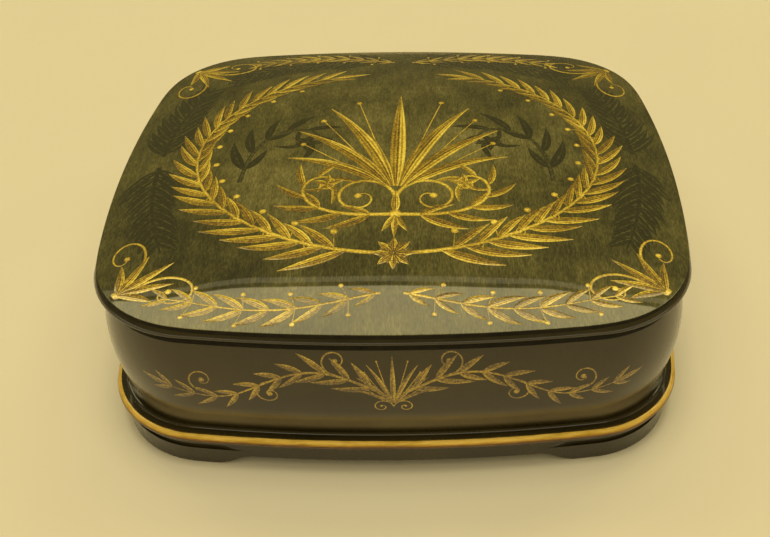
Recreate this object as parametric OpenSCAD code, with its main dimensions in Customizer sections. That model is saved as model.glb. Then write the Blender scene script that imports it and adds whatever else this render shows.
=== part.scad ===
// Lacquer box with a domed hinged lid, a gilt bead and four bracket feet.
// Millimetres. Z is up, the feet stand on z = 0, the front faces -Y, the box is centred on X and Y.

/* [Outline] */
// Width of the lid from side to side
lid_width = 170; // [130:1:220]
// Depth of the lid from front to back
lid_depth = 153; // [116:1:200]
// Radius of the long front and back curves in plan
front_curve_radius = 440; // [300:5:900]
// Radius of the two side curves in plan
side_curve_radius = 330; // [240:5:900]
// Radius of the four corners in plan
corner_radius = 31.5; // [20:0.5:40]

/* [Base] */
// How far the sides of the base stand inside the lid outline
base_side_inset = 0.5; // [0:0.1:1.5]
// How far the front and back of the base stand outside the lid outline
base_front_reach = 0.3; // [0:0.1:1]
// How much tighter the corners of the base are than those of the lid
base_corner_drop = 2.8; // [0:0.1:4]
// Height of the feet, from the ground to the base board
foot_height = 8.2; // [6:0.1:18]
// Height of the upright face of the plinth
plinth_face_height = 5.8; // [4:0.1:10]
// Height of the arches between the feet
arch_height = 3.5; // [2:0.1:5]
// Length of a foot along the front, from the side of the lid outline
front_foot_length = 34.5; // [28:0.5:50]
// Length of a foot along the side, from the front of the lid outline
side_foot_length = 34.5; // [28:0.5:50]
// Run of the ogee curve at the inner end of each foot
foot_curve_run = 11; // [5:0.5:14]
// How far the face of the plinth stands inside the base outline
plinth_face_inset = 1.15; // [0.8:0.05:1.6]
// Width of the bevel along the ground
toe_bevel = 0.4; // [0.2:0.1:0.8]
// How far the top of the plinth stands inside the base outline
plinth_neck_inset = 2.9; // [2.2:0.1:4]
// How far the inner face of the plinth stands inside the base outline
plinth_inner_inset = 9; // [7:0.5:14]
// Thickness of the base board
board_thickness = 5.1; // [4:0.1:8]
// Height of the raised step on top of the base board
board_step_height = 0.8; // [0.4:0.1:1.2]
// How far the raised step stands inside the base outline
board_step_inset = 2.1; // [1.8:0.1:2.3]
// Radius of the gilt half-round bead
bead_radius = 1.4; // [0.8:0.05:1.5]
// How far the bead stands outside the base outline
bead_reach = 0.75; // [0:0.05:1]
// Height of the bare edge of the board above the bead
bead_drop = 0.25; // [0.1:0.05:0.6]

/* [Body] */
// Height of the wall from the base board to the parting line
wall_height = 34.1; // [24:0.1:80]
// Thickness of the wall at its top edge
wall_thickness = 5; // [4:0.1:8]
// How far the lid overhangs the top of the wall
lid_overhang = 3; // [2.8:0.1:5]
// How far the foot of the wall stands inside the lid outline
wall_foot_inset = 3; // [2.9:0.1:5]
// How far the wall bellies out between top and foot
wall_belly = 2.4; // [0.5:0.1:4]
// Thickness of the bottom panel
bottom_thickness = 3; // [2:0.1:5]
// Thickness of the inner collar
collar_thickness = 1.6; // [1:0.1:3]
// How far the inner collar stands above the wall
collar_lip = 2.5; // [1:0.1:4]

/* [Lid] */
// Height of the rounded rim of the lid
rim_height = 2.3; // [2:0.1:4]
// How far the edge of the panel stands inside the rim
panel_edge_inset = 0.7; // [0.4:0.1:1.5]
// Height of the upright edge of the panel
panel_edge_height = 0.6; // [0.4:0.1:1.5]
// Rise of the dome above its edge
dome_rise = 7.4; // [3:0.1:16]
// Fullness of the dome, 2 is a plain curve and more is flatter on top
dome_fullness = 2.4; // [2:0.1:4]
// Thickness of the panel at its middle
panel_thickness = 3; // [2.2:0.1:5]

/* [Hinge] */
// Length of the hinge
hinge_length = 42; // [30:1:60]
// Outer radius of the hinge barrel
barrel_radius = 1.5; // [1.3:0.05:2]
// Radius of the hinge pin
pin_radius = 0.75; // [0.5:0.05:0.8]
// How far the hinge axis stands behind the wall
axis_offset = 0.5; // [0.3:0.05:0.8]
// Thickness of the two leaves
leaf_thickness = 0.8; // [0.5:0.05:1]
// Radius of the small pins that hold the leaves
leaf_pin_radius = 0.5; // [0.3:0.05:0.7]
// Length of the pins in the wall
body_leaf_pin_length = 5; // [3:0.1:8]

/* [Clearances] */
// Seam between the lid and the wall
seam = 0.3; // [0.2:0.05:0.6]
// Gap between the lid and the inner collar
collar_clearance = 0.3; // [0.2:0.05:0.6]
// Gap around the hinge barrel in its notch
barrel_clearance = 0.4; // [0.3:0.05:0.6]
// Gap between neighbouring knuckles
knuckle_gap = 0.2; // [0.1:0.05:0.4]
// Running clearance of the pin in the knuckles of the lid
pin_clearance = 0.05; // [0.02:0.01:0.1]

/* [Hidden] */
half_width = lid_width / 2;
half_depth = lid_depth / 2;
tiny = 0.01;

// Plan outlines: eight arcs that meet tangentially, every offset keeps the same centres.
// The angles where they meet are whole thousandths of a degree, and the radii are solved to suit them.
function solved_plan(half_w, half_d, corner) =
    let (front_away = front_curve_radius - half_d)
    let (side_away = side_curve_radius - half_w)
    let (centre_span = norm([front_away, side_away]))
    let (front_span = front_curve_radius - corner)
    let (side_span = side_curve_radius - corner)
    let (span_rest = front_span * front_span - side_span * side_span)
    let (along = (span_rest + centre_span * centre_span) / (2 * centre_span))
    let (across = sqrt(max(0, front_span * front_span - along * along)))
    let (rough_x = (front_away * across - side_away * along) / centre_span)
    let (rough_y = (front_away * along + side_away * across) / centre_span - front_away)
    let (front_angle = round(1000 * atan2(rough_y + front_away, rough_x)) / 1000)
    let (side_angle = round(1000 * atan2(rough_y, rough_x + side_away)) / 1000)
    let (depth_rest = half_d - corner * (sin(front_angle) - sin(side_angle)))
    let (width_rest = half_w - corner * (cos(side_angle) - cos(front_angle)))
    let (scale = (1 - sin(front_angle)) * (1 - cos(side_angle)) - sin(side_angle) * cos(front_angle))
    let (front_radius = (depth_rest * (1 - cos(side_angle)) - width_rest * sin(side_angle)) / scale)
    let (side_radius = (width_rest * (1 - sin(front_angle)) - depth_rest * cos(front_angle)) / scale)
    [half_w, half_d, corner, front_radius, side_radius, front_angle, side_angle];
lid_plan = solved_plan(half_width, half_depth, corner_radius);
base_plan = solved_plan(
    half_width - base_side_inset,
    half_depth + base_front_reach,
    corner_radius - base_corner_drop);
sweep_facets = 72;
corner_steps = 14;
curve_steps = 6;

// Heights
board_bottom = foot_height;
board_top = board_bottom + board_thickness;
step_bottom = board_top - board_step_height;
bead_height = step_bottom - bead_drop - bead_radius;
parting = board_top + wall_height;
rim_bottom = parting + seam;
rim_top = rim_bottom + rim_height;
panel_edge_top = rim_top + panel_edge_height;
dome_top = panel_edge_top + dome_rise;
floor_top = board_top + bottom_thickness;

// Insets, measured inward from the outline of the lid, or of the base for the board
board_edge_inset = bead_radius - bead_reach;
wall_inner_inset = lid_overhang + wall_thickness;
rim_inner_inset = wall_inner_inset - collar_clearance;
collar_inner_inset = wall_inner_inset + collar_thickness;
hollow_inset = collar_inner_inset + 1;
collar_top = min(parting + collar_lip, rim_top - collar_clearance);
face_top = min(plinth_face_height, foot_height - 1);
arch_top = min(arch_height, face_top - 1);

// Hinge
axis_y = half_depth - lid_overhang + axis_offset;
axis_z = parting + seam / 2;
notch_front = axis_y - barrel_radius - barrel_clearance;
leaf_front = half_depth - wall_inner_inset + 0.6;
leaf_pin_y = (leaf_front + notch_front) / 2;
knuckle_count = 5;
knuckle_pitch = hinge_length / knuckle_count;
leaf_pin_places = [-hinge_length / 3, 0, hinge_length / 3];
leaf_pin_head_radius = leaf_pin_radius * 1.7;
leaf_pin_head_height = leaf_thickness / 2;
lid_leaf_pin_length = rim_height - 0.2;

lacquer = [0.06, 0.06, 0.05];
painted = [0.16, 0.16, 0.10];
crimson = [0.45, 0.05, 0.04];
gilding = [0.85, 0.62, 0.16];
bright_brass = [0.80, 0.66, 0.30];

function arc_points(centre, radius, from, to, steps) =
    [for (i = [0 : steps - 1])
        let (angle = from + (to - from) * i / steps)
        centre + radius * [cos(angle), sin(angle)]];

function outline_points(plan, inset) =
    let (corner = plan[2] - inset)
    let (front = plan[3] - inset)
    let (side = plan[4] - inset)
    let (front_angle = plan[5])
    let (side_angle = plan[6])
    let (front_centre = plan[3] - plan[1])
    let (side_centre = plan[4] - plan[0])
    let (x = (plan[3] - plan[2]) * cos(front_angle))
    let (y = (plan[4] - plan[2]) * sin(side_angle))
    concat(
        arc_points([-side_centre, 0], side, -side_angle, side_angle, curve_steps),
        arc_points([x, y], corner, side_angle, front_angle, corner_steps),
        arc_points([0, -front_centre], front, front_angle, 180 - front_angle, curve_steps),
        arc_points([-x, y], corner, 180 - front_angle, 180 - side_angle, corner_steps),
        arc_points([side_centre, 0], side, 180 - side_angle, 180 + side_angle, curve_steps),
        arc_points([-x, -y], corner, 180 + side_angle, 180 + front_angle, corner_steps),
        arc_points([0, front_centre], front, 180 + front_angle, 360 - front_angle, curve_steps),
        arc_points([x, -y], corner, 360 - front_angle, 360 - side_angle, corner_steps)
    );

// A move made in two steps, thousandths of a millimetre first and then the rest, so that ends meet closely
module placed(move) {
    coarse = [for (value = move) round(1000 * value) / 1000];
    translate(coarse)
        translate(move - coarse)
            children();
}

// One arc of a ring: the profile is drawn with x = 0 on the outline and x negative inside it
module sector(centre_x, centre_y, radius, from, to) {
    placed([centre_x, centre_y, 0])
        rotate_extrude(start = from, angle = to - from, $fn = sweep_facets)
            placed([radius, 0])
                children();
}

// A small block inside a ring, where two arcs of it meet, so that they hold together at any size
tie_size = 0.5;
module tie(centre_x, centre_y, radius, angle, place) {
    placed([centre_x, centre_y, 0])
        rotate([0, 0, angle])
            translate([radius + place[0], 0, place[1]])
                cube(tie_size, center = true);
}

// A whole ring round the box, tied at a place inside its profile
module around(plan, place) {
    corner = plan[2];
    front_radius = plan[3];
    side_radius = plan[4];
    front_angle = plan[5];
    side_angle = plan[6];
    front_centre = front_radius - plan[1];
    side_centre = side_radius - plan[0];
    corner_x = (front_radius - corner) * cos(front_angle);
    corner_y = (side_radius - corner) * sin(side_angle);
    union() {
        sector(-side_centre, 0, side_radius, -side_angle, side_angle) children();
        sector(corner_x, corner_y, corner, side_angle, front_angle) children();
        sector(0, -front_centre, front_radius, front_angle, 180 - front_angle) children();
        sector(-corner_x, corner_y, corner, 180 - front_angle, 180 - side_angle) children();
        sector(side_centre, 0, side_radius, 180 - side_angle, 180 + side_angle) children();
        sector(-corner_x, -corner_y, corner, 180 + side_angle, 180 + front_angle) children();
        sector(0, front_centre, front_radius, 180 + front_angle, 360 - front_angle) children();
        sector(corner_x, -corner_y, corner, 360 - front_angle, 360 - side_angle) children();
        for (angle = [side_angle, front_angle])
            tie(corner_x, corner_y, corner, angle, place);
        for (angle = [180 - front_angle, 180 - side_angle])
            tie(-corner_x, corner_y, corner, angle, place);
        for (angle = [180 + side_angle, 180 + front_angle])
            tie(-corner_x, -corner_y, corner, angle, place);
        for (angle = [360 - front_angle, 360 - side_angle])
            tie(corner_x, -corner_y, corner, angle, place);
    }
}

module plate(plan, inset, bottom, top) {
    translate([0, 0, bottom])
        linear_extrude(height = top - bottom)
            polygon(outline_points(plan, inset));
}

// Plinth profile: an upright face with a cove above it that runs in to the neck
cove_drop = foot_height - face_top;
cove_run = plinth_neck_inset - plinth_face_inset;
cove_steps = 8;
function cove_points() =
    [for (i = [0 : cove_steps])
        let (angle = 180 + 90 * i / cove_steps)
        [cove_run * cos(angle) - plinth_face_inset, foot_height + cove_drop * sin(angle)]];

module plinth_profile() {
    polygon(concat(
        [[-plinth_inner_inset, foot_height]],
        cove_points(),
        [[-plinth_face_inset, toe_bevel],
         [-plinth_face_inset - toe_bevel, 0],
         [-plinth_inner_inset, 0]]
    ));
}

// The void of one arch: flat on top, with an ogee down to each foot
ogee_steps = 10;
function ogee_points(inner, sign) =
    [for (i = [0 : ogee_steps])
        [sign * (inner + foot_curve_run * i / ogee_steps), arch_top * (1 + cos(180 * i / ogee_steps)) / 2]];

module arch_void(inner) {
    right = ogee_points(inner, 1);
    left = ogee_points(inner, -1);
    polygon(concat(
        [for (i = [ogee_steps : -1 : 0]) left[i]],
        right,
        [[inner + foot_curve_run, -1], [-inner - foot_curve_run, -1]]
    ));
}

module plinth() {
    tie_place = [-(plinth_neck_inset + plinth_inner_inset) / 2, (arch_top + foot_height) / 2];
    front_inner = half_width - front_foot_length - foot_curve_run;
    side_inner = half_depth - side_foot_length - foot_curve_run;
    color(lacquer)
        difference() {
            around(base_plan, tie_place) plinth_profile();
            rotate([90, 0, 0])
                translate([0, 0, -half_depth - 10])
                    linear_extrude(height = lid_depth + 20)
                        arch_void(front_inner);
            rotate([90, 0, 90])
                translate([0, 0, -half_width - 10])
                    linear_extrude(height = lid_width + 20)
                        arch_void(side_inner);
        }
}

// Base board: a ring with a rounded step, filled by a flat plate
step_rounding = board_step_height * 0.9;
step_steps = 5;
function step_points() =
    [for (i = [0 : step_steps])
        let (angle = 90 * i / step_steps)
        [-board_step_inset - step_rounding + step_rounding * cos(angle),
         board_top - step_rounding + step_rounding * sin(angle)]];

module board_profile() {
    polygon(concat(
        [[-collar_inner_inset - 3, board_bottom],
         [-board_edge_inset, board_bottom],
         [-board_edge_inset, step_bottom],
         [-board_step_inset, step_bottom]],
        step_points(),
        [[-collar_inner_inset - 3, board_top]]
    ));
}

module base_board() {
    color(lacquer)
        union() {
            around(base_plan, [-wall_inner_inset, (board_bottom + board_top) / 2]) board_profile();
            plate(base_plan, collar_inner_inset + 2, board_bottom, board_top);
        }
}

// Gilt bead: a half-round against the edge of the board
bead_steps = 12;
module bead_profile() {
    polygon([for (i = [0 : bead_steps])
        let (angle = -90 + 180 * i / bead_steps)
        [bead_radius * cos(angle) - board_edge_inset, bead_height + bead_radius * sin(angle)]]);
}

module gilt_bead() {
    color(gilding)
        around(base_plan, [bead_radius / 2 - board_edge_inset, bead_height]) bead_profile();
}

// Wall profile: upright at its foot, then bellied out up to the top
wall_steps = 16;
wall_foot_power = 5;
function wall_bulge(t) = 4 * t * (1 - t) * (1 - pow(1 - t, wall_foot_power));
function wall_points() =
    [for (i = [0 : wall_steps])
        let (t = i / wall_steps)
        let (inset = wall_foot_inset * (1 - t) + lid_overhang * t)
        [wall_belly * wall_bulge(t) - inset, board_top + wall_height * t]];

module wall_profile() {
    polygon(concat(
        [[-wall_inner_inset, board_top]],
        wall_points(),
        [[-wall_inner_inset, parting]]
    ));
}

// One small pin with a flush conical head, its head at z = 0 and its shank below
module leaf_pin(length) {
    rotate_extrude($fn = 24)
        polygon([
            [0, 0],
            [leaf_pin_head_radius, 0],
            [leaf_pin_radius, -leaf_pin_head_height],
            [leaf_pin_radius, -length],
            [0, -length]
        ]);
}

module body_leaf_pins() {
    color(bright_brass)
        for (x = leaf_pin_places)
            translate([x, leaf_pin_y, parting])
                leaf_pin(body_leaf_pin_length);
}

module lid_leaf_pins() {
    color(bright_brass)
        for (x = leaf_pin_places)
            translate([x, leaf_pin_y, rim_bottom])
                mirror([0, 0, 1])
                    leaf_pin(lid_leaf_pin_length);
}

// Notch for the barrel, cut through to the back of the wall and of the rim
notch_half = hinge_length / 2 + barrel_clearance;
module barrel_notch(bottom, top) {
    translate([-notch_half, notch_front, bottom])
        cube([2 * notch_half, lid_depth, top - bottom]);
}

module leaf_seat(bottom, top) {
    translate([-hinge_length / 2, leaf_front, bottom])
        cube([hinge_length, notch_front - leaf_front + tiny, top - bottom]);
}

module body_wall() {
    tie_place = [-(wall_foot_inset + wall_inner_inset) / 2, board_top + wall_height / 2];
    color(painted)
        difference() {
            around(lid_plan, tie_place) wall_profile();
            barrel_notch(axis_z - barrel_radius - barrel_clearance, parting + 1);
            leaf_seat(parting - leaf_thickness, parting + 1);
            body_leaf_pins();
        }
}

module bottom_panel() {
    color(crimson)
        plate(lid_plan, wall_inner_inset, board_top, floor_top);
}

module collar_profile() {
    polygon([
        [-collar_inner_inset, floor_top],
        [-wall_inner_inset, floor_top],
        [-wall_inner_inset, collar_top - 0.5],
        [-wall_inner_inset - 0.5, collar_top],
        [-collar_inner_inset, collar_top]
    ]);
}

module inner_collar() {
    tie_place = [-(wall_inner_inset + collar_inner_inset) / 2, board_top + wall_height / 2];
    color(crimson)
        around(lid_plan, tie_place) collar_profile();
}

// Rim profile: a half-round nose and a flat frame behind it
rim_steps = 10;
rim_nose = rim_height / 2;
module rim_profile() {
    polygon(concat(
        [[-rim_inner_inset, rim_bottom]],
        [for (i = [0 : rim_steps])
            let (angle = -90 + 180 * i / rim_steps)
            [rim_nose * cos(angle) - rim_nose, rim_bottom + rim_nose + rim_nose * sin(angle)]],
        [[-rim_inner_inset, rim_top]]
    ));
}

module lid_rim() {
    color(lacquer)
        difference() {
            around(lid_plan, [-rim_inner_inset / 2, (rim_bottom + rim_top) / 2]) rim_profile();
            barrel_notch(rim_bottom - 1, axis_z + barrel_radius + barrel_clearance);
            leaf_seat(rim_bottom - 1, rim_bottom + leaf_thickness);
            lid_leaf_pins();
        }
}

// Lid panel: rings of the outline, drawn in towards the middle and raised along the dome
dome_rings = [1, 0.985, 0.96, 0.92, 0.86, 0.77, 0.65, 0.5, 0.34, 0.17];
hollow_rings = [1, 0.95, 0.86, 0.72, 0.54, 0.32];
hollow_rise = dome_top - panel_thickness - rim_top;
ring_count = 4 * (corner_steps + curve_steps);
// A ring keeps the outline at the edge and turns into an ellipse towards the middle
function eased(p, s, inset) =
    let (round_p = p / norm([p[0] / (half_width - inset), p[1] / (half_depth - inset)]))
    s * (s * p + (1 - s) * round_p);
function lifted(points, s, inset, height) =
    [for (p = points) let (q = eased(p, s, inset)) [q[0], q[1], height]];
function dome_height(s) = panel_edge_top + dome_rise * (1 - pow(s, dome_fullness));
function hollow_height(s) = rim_top + hollow_rise * (1 - pow(s, dome_fullness));

module lid_panel() {
    edge = outline_points(lid_plan, panel_edge_inset);
    hollow = outline_points(lid_plan, hollow_inset);
    top_count = len(dome_rings);
    under_count = len(hollow_rings);
    points = concat(
        [[0, 0, dome_top]],
        [for (i = [top_count - 1 : -1 : 0])
            each lifted(edge, dome_rings[i], panel_edge_inset, dome_height(dome_rings[i]))],
        lifted(edge, 1, panel_edge_inset, rim_top),
        [for (i = [0 : under_count - 1])
            each lifted(hollow, hollow_rings[i], hollow_inset, hollow_height(hollow_rings[i]))],
        [[0, 0, rim_top + hollow_rise]]
    );
    rows = top_count + 1 + under_count;
    last = 1 + rows * ring_count;
    faces = concat(
        [for (j = [0 : ring_count - 1]) [0, 1 + (j + 1) % ring_count, 1 + j]],
        [for (i = [0 : rows - 2], j = [0 : ring_count - 1])
            [1 + i * ring_count + j,
             1 + i * ring_count + (j + 1) % ring_count,
             1 + (i + 1) * ring_count + j]],
        [for (i = [0 : rows - 2], j = [0 : ring_count - 1])
            [1 + i * ring_count + (j + 1) % ring_count,
             1 + (i + 1) * ring_count + (j + 1) % ring_count,
             1 + (i + 1) * ring_count + j]],
        [for (j = [0 : ring_count - 1])
            [last, 1 + (rows - 1) * ring_count + j, 1 + (rows - 1) * ring_count + (j + 1) % ring_count]]
    );
    color(painted)
        polyhedron(points = points, faces = faces, convexity = 4);
}

// Knuckles along the hinge axis, first is 0 for the wall and 1 for the lid
module knuckles(first, bottom) {
    for (i = [first : 2 : knuckle_count - 1]) {
        start = -hinge_length / 2 + i * knuckle_pitch + knuckle_gap / 2;
        length = knuckle_pitch - knuckle_gap;
        translate([start, axis_y, axis_z])
            rotate([0, 90, 0])
                cylinder(r = barrel_radius, h = length, $fn = 48);
        translate([start, notch_front - tiny, bottom])
            cube([length, axis_y - notch_front + tiny, leaf_thickness]);
    }
}

module leaf_plate(bottom) {
    translate([-hinge_length / 2, leaf_front, bottom])
        cube([hinge_length, notch_front - leaf_front, leaf_thickness]);
}

module pin_bore(radius) {
    translate([-hinge_length, axis_y, axis_z])
        rotate([0, 90, 0])
            cylinder(r = radius, h = 2 * hinge_length, $fn = 48);
}

module body_hinge_leaf() {
    color(bright_brass)
        difference() {
            union() {
                leaf_plate(parting - leaf_thickness);
                knuckles(0, parting - leaf_thickness);
            }
            pin_bore(pin_radius);
            body_leaf_pins();
        }
}

module lid_hinge_leaf() {
    color(bright_brass)
        difference() {
            union() {
                leaf_plate(rim_bottom);
                knuckles(1, rim_bottom);
            }
            pin_bore(pin_radius + pin_clearance);
            lid_leaf_pins();
        }
}

module hinge_pin() {
    color(bright_brass)
        translate([-hinge_length / 2 + knuckle_gap / 2, axis_y, axis_z])
            rotate([0, 90, 0])
                cylinder(r = pin_radius, h = hinge_length - knuckle_gap, $fn = 48);
}

bottom_panel();
body_wall();
inner_collar();
base_board();
gilt_bead();
plinth();
lid_panel();
lid_rim();
body_hinge_leaf();
lid_hinge_leaf();
hinge_pin();
body_leaf_pins();
lid_leaf_pins();
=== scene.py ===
import itertools
import math
import random

import bmesh
import bpy
import numpy as np
from mathutils import Matrix, Vector


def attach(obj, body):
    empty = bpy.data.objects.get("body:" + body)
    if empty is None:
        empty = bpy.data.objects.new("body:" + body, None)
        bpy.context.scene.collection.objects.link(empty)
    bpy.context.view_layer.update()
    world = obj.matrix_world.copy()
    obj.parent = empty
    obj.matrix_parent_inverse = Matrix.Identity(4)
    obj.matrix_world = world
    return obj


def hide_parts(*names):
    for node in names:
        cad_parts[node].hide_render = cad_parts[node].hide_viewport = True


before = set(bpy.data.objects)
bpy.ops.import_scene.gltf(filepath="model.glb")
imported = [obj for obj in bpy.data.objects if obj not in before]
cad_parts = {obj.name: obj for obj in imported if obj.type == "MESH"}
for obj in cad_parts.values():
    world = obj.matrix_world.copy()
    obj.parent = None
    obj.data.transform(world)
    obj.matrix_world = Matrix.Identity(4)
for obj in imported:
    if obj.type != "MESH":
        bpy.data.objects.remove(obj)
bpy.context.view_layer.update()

# Sizes in millimetres and turns in degrees, the main ones as in the solids
MM = 0.001
HALF_WIDTH = 85.0
HALF_DEPTH = 76.5
FRONT_RADIUS = 440.0
SIDE_RADIUS = 330.0
CORNER_RADIUS = 31.5
BASE_HALF_WIDTH = 84.5
BASE_HALF_DEPTH = 76.8
BASE_CORNER = 28.7
FOOT_HEIGHT = 8.2
FACE_HEIGHT = 5.8
ARCH_HEIGHT = 3.5
FRONT_ARCH = 39.5
SIDE_ARCH = 31.0
OGEE_RUN = 11.0
FACE_INSET = 1.15
TOE_EASING = 0.4
NECK_INSET = 2.9
PLINTH_INNER = 9.0
HEEL_EASING = 0.3
BOARD_TOP = 13.3
BEAD_HEIGHT = 10.85
BEAD_RADIUS = 1.4
BEAD_BACK = 0.65
BEAD_ROOM = 0.09
BEAD_WAVES = (9, 23, 41, 67, 97)
PARTING = 47.4
EDGE_BAND = 44.2
WALL_INSET = 3.0
WALL_BELLY = 2.4
WALL_FOOT_POWER = 5
WALL_INNER = 8.0
WALL_EASING = 0.35
WALL_SOFTENING = 0.10
RIM_BOTTOM = 47.7
RIM_HEIGHT = 2.3
RIM_INNER = 7.7
RIM_TOP = RIM_BOTTOM + RIM_HEIGHT
NOSE_LOWER = 0.5
NOSE_TURN = 18.0
PANEL_INSET = 0.7
PANEL_SEAT = 0.7
SEAT_SLOPE = 2.0
EASING = 8
PANEL_EDGE_TOP = RIM_TOP + 0.6
DOME_RISE = 7.4
DOME_POWER = 2.4
HOLLOW_INSET = 10.6
HOLLOW_RISE = 5.0
HINGE_HALF = 21.4
NOTCH_FRONT = 72.1
NOTCH_BOTTOM = 45.65
NOTCH_TOP = 49.45
LEAF_HALF = 21.0
LEAF_FRONT = 69.1
LEAF_BACK = 73.0
LEAF_SINK = 0.8
CLEAR_BACK = 90.0
CLEAR_TOP = 60.0
CLEAR_BOTTOM = 40.0
PAINT_ROOM = 0.06
PAINT_MARGIN = 1.2
STROKE_EDGE = 0.012
STROKE_RELIEF = 0.035
SHADE_FLATNESS = 0.3
VINE_STRENGTH = 0.72
SHARP = 40.0
SHARP_ROUND = 50.0
SHARP_PAINT = 60.0


class Outline:
    """A plan outline of eight arcs that meet tangentially."""

    def __init__(self, half_width, half_depth, corner, curve_steps=96, corner_steps=40):
        front = FRONT_RADIUS - half_depth
        side = SIDE_RADIUS - half_width
        apart = math.hypot(front, side)
        near = FRONT_RADIUS - corner
        far = SIDE_RADIUS - corner
        along = (near * near - far * far + apart * apart) / (2 * apart)
        across = math.sqrt(near * near - along * along)
        x = (front * across - side * along) / apart
        y = (front * along + side * across) / apart - front
        top = math.atan2(y + front, x)
        low = math.atan2(y, x + side)
        pi = math.pi
        arcs = [
            (-side, 0.0, SIDE_RADIUS, -low, low, curve_steps),
            (x, y, corner, low, top, corner_steps),
            (0.0, -front, FRONT_RADIUS, top, pi - top, curve_steps),
            (-x, y, corner, pi - top, pi - low, corner_steps),
            (side, 0.0, SIDE_RADIUS, pi - low, pi + low, curve_steps),
            (-x, -y, corner, pi + low, pi + top, corner_steps),
            (0.0, front, FRONT_RADIUS, pi + top, 2 * pi - top, curve_steps),
            (x, -y, corner, 2 * pi - top, 2 * pi - low, corner_steps),
        ]
        rows = []
        for cx, cy, radius, start, end, steps in arcs:
            for i in range(steps):
                rows.append((cx, cy, radius, start + (end - start) * i / steps))
        rows = np.array(rows)
        self.centres = rows[:, :2]
        self.radii = rows[:, 2]
        self.normals = np.c_[np.cos(rows[:, 3]), np.sin(rows[:, 3])]

    def ring(self, out):
        """The outline moved outward by a distance, or by one distance per sample."""
        return self.centres + (self.radii + out)[:, None] * self.normals


LID = Outline(HALF_WIDTH, HALF_DEPTH, CORNER_RADIUS)
BASE = Outline(BASE_HALF_WIDTH, BASE_HALF_DEPTH, BASE_CORNER)
COUNT = len(LID.radii)


def link(name, data):
    """A new object in the scene."""
    made = bpy.data.objects.new(name, data)
    bpy.context.scene.collection.objects.link(made)
    return made


def build(name, points, faces, sharp=SHARP, closed=True):
    """A smooth-shaded mesh object from points in millimetres."""
    mesh = bpy.data.meshes.new(name)
    mesh.from_pydata((np.asarray(points) * MM).tolist(), [], faces)
    if closed:
        work = bmesh.new()
        work.from_mesh(mesh)
        bmesh.ops.recalc_face_normals(work, faces=work.faces)
        work.to_mesh(mesh)
        work.free()
    mesh.shade_smooth()
    mesh.set_sharp_from_angle(angle=math.radians(sharp))
    return link(name, mesh)


def bands(rows, wrap):
    """Quads between stacked rings, closed back to the first ring if wrap is true."""
    faces = []
    for j in range(rows if wrap else rows - 1):
        low = j * COUNT
        high = ((j + 1) % rows) * COUNT
        for i in range(COUNT):
            k = (i + 1) % COUNT
            faces.append((low + i, low + k, high + k, high + i))
    return faces


def level_ring(plan, out, z):
    """The outline moved outward, at one height or at one height per sample."""
    return np.c_[plan.ring(out), np.zeros(COUNT) + z]


def sweep(name, profile):
    """A closed ring round the lid outline from a profile of (outward, height) pairs."""
    points = np.vstack([level_ring(LID, out, z) for out, z in profile])
    return build(name, points, bands(len(profile), True))


def arc(cx, cy, radius, start, end, steps):
    """Points on a circular arc, angles in degrees."""
    angles = np.radians(np.linspace(start, end, steps + 1))
    return [(cx + radius * math.cos(a), cy + radius * math.sin(a)) for a in angles]


def cut(piece, low, high):
    """Cuts a box out of a piece, corners in millimetres."""
    corners = list(itertools.product(*zip(low, high)))
    sides = [(0, 1, 3, 2), (4, 6, 7, 5), (0, 4, 5, 1), (2, 3, 7, 6), (0, 2, 6, 4), (1, 5, 7, 3)]
    tool = build("cutting_tool", corners, sides)
    modifier = piece.modifiers.new("cut", "BOOLEAN")
    modifier.operation = "DIFFERENCE"
    modifier.solver = "EXACT"
    modifier.object = tool
    graph = bpy.context.evaluated_depsgraph_get()
    result = bpy.data.meshes.new_from_object(piece.evaluated_get(graph))
    piece.modifiers.clear()
    old = piece.data
    piece.data = result
    result.name = old.name
    bpy.data.meshes.remove(old)
    bpy.data.objects.remove(tool)
    result.shade_smooth()
    result.set_sharp_from_angle(angle=math.radians(SHARP))


# Material helpers
def node(tree, kind, values=None, **settings):
    """A shader node with its settings, and with values or links on its inputs."""
    made = tree.nodes.new(kind)
    for key, value in settings.items():
        setattr(made, key, value)
    for key, value in (values or {}).items():
        if isinstance(value, bpy.types.NodeSocket):
            tree.links.new(value, made.inputs[key])
        else:
            made.inputs[key].default_value = value
    return made


def math_node(tree, operation, first, second=0.0):
    return node(tree, "ShaderNodeMath", {0: first, 1: second}, operation=operation).outputs[0]


def product(tree, first, second):
    return math_node(tree, "MULTIPLY", first, second)


def total(tree, first, second):
    return math_node(tree, "ADD", first, second)


def less(tree, first, second):
    return math_node(tree, "SUBTRACT", first, second)


def mix_colour(tree, factor, first, second):
    made = node(tree, "ShaderNodeMix", {0: factor, 6: first, 7: second}, data_type="RGBA")
    return made.outputs[2]


def span(tree, value, low, high, to_low=0.0, to_high=1.0):
    """A soft step of a value from one level to another."""
    made = node(tree, "ShaderNodeMapRange", {0: value, 1: low, 2: high, 3: to_low, 4: to_high})
    made.interpolation_type = "SMOOTHSTEP"
    return made.outputs[0]


def stripe(tree, value, rise_start, rise_end, fall_start, fall_end):
    """One between two soft edges, nought outside them."""
    rise = span(tree, value, rise_start, rise_end)
    fall = span(tree, value, fall_start, fall_end, 1.0, 0.0)
    return product(tree, rise, fall)


def ramp(tree, value, stops):
    """Colours by value, from stops of place and colour."""
    made = node(tree, "ShaderNodeValToRGB", {0: value})
    elements = made.color_ramp.elements
    while len(elements) < len(stops):
        elements.new(0.5)
    for element, (place, colour) in zip(elements, stops):
        element.position = place
        element.color = (*colour, 1.0)
    return made.outputs[0]


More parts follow.
